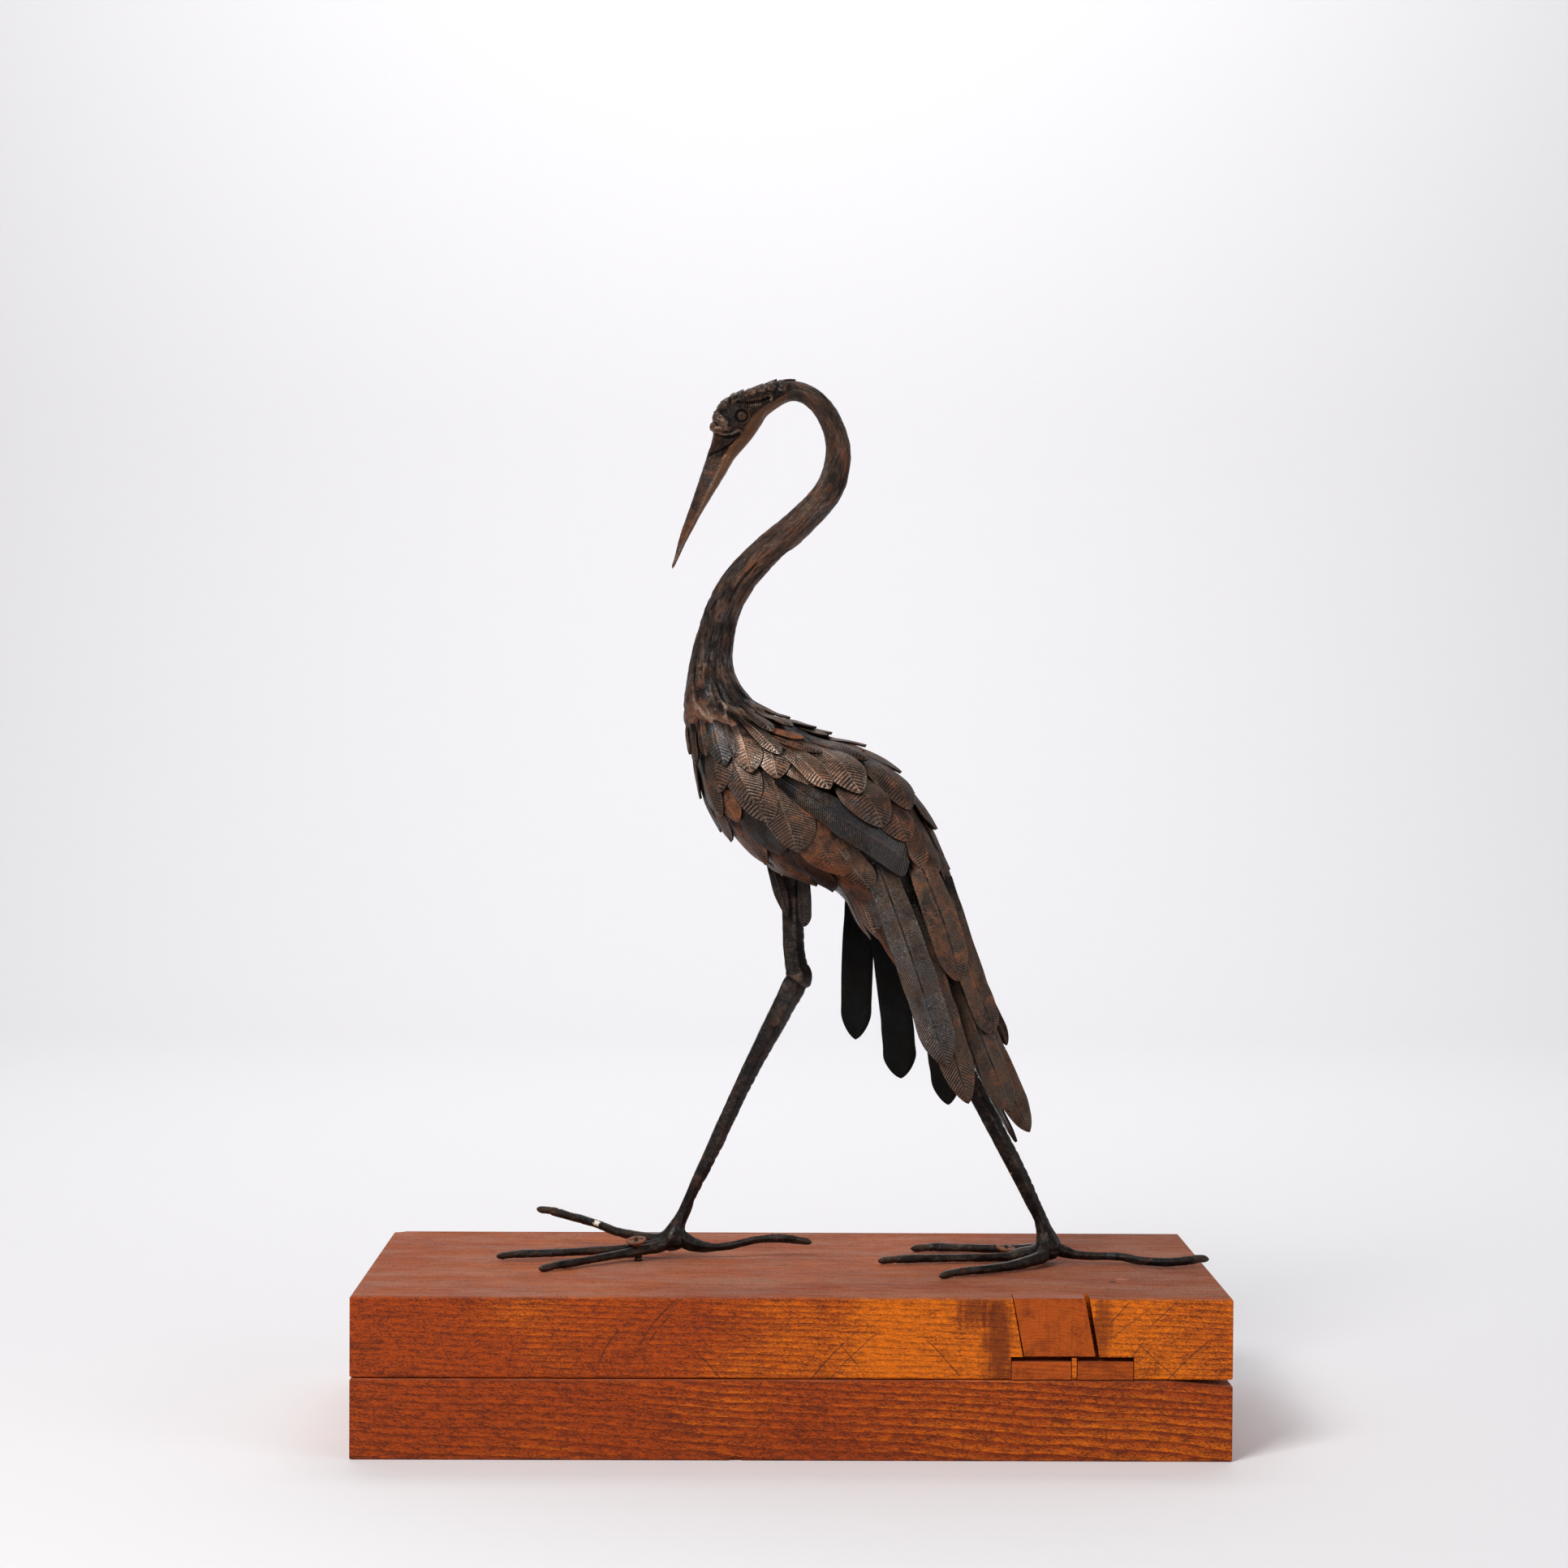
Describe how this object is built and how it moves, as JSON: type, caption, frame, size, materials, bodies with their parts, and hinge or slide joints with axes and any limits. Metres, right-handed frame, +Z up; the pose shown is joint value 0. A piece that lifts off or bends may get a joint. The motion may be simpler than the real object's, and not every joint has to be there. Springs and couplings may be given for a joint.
{
  "type": "crane sculpture on a wooden base",
  "caption": "Striding metal crane with a hooked neck and layered feathers, screwed by its feet to a base of two stacked wooden boards.",
  "frame": {"origin": "centre of the base's flat underside", "axes": "+Z up, +X towards the bird's tail along the base's length, +Y across the base, away from the side that is shown"},
  "size_m": [0.4917, 0.22, 0.6124],
  "materials": {
    "board_wood": "orange-brown varnished softwood, dusty and matt on top",
    "patch_wood": "lighter softwood repair, thinly varnished",
    "body_metal": "dark brown patinated bronze with rust-orange patches and worn bright ridges",
    "wing_metal": "dark brown to blue-grey patinated bronze",
    "leg_metal": "nearly black patinated bronze",
    "screw_metal": "rusted steel"
  },
  "bodies": {
    "root": {"lower_board": "board_wood", "upper_board": "board_wood", "wedge_patch": "patch_wood", "left_patch_block": "patch_wood", "right_patch_block": "patch_wood", "front_screw": "screw_metal", "rear_screw": "screw_metal", "right_leg": "leg_metal", "left_leg": "leg_metal", "body_neck_and_head": "body_metal", "left_wing_bar": "wing_metal", "left_flight_feather_1": "wing_metal", "left_flight_feather_2": "wing_metal", "left_flight_feather_3": "wing_metal", "left_flight_feather_4": "wing_metal", "right_wing_bar": "wing_metal", "right_flight_feather_1": "wing_metal", "right_flight_feather_2": "wing_metal", "right_flight_feather_3": "wing_metal", "right_flight_feather_4": "wing_metal", "right_flight_feather_5": "wing_metal", "tail_feather_1": "wing_metal", "tail_feather_2": "wing_metal", "tail_feather_3": "wing_metal", "tail_feather_4": "wing_metal", "tail_feather_5": "wing_metal"}
  },
  "joints": []
}
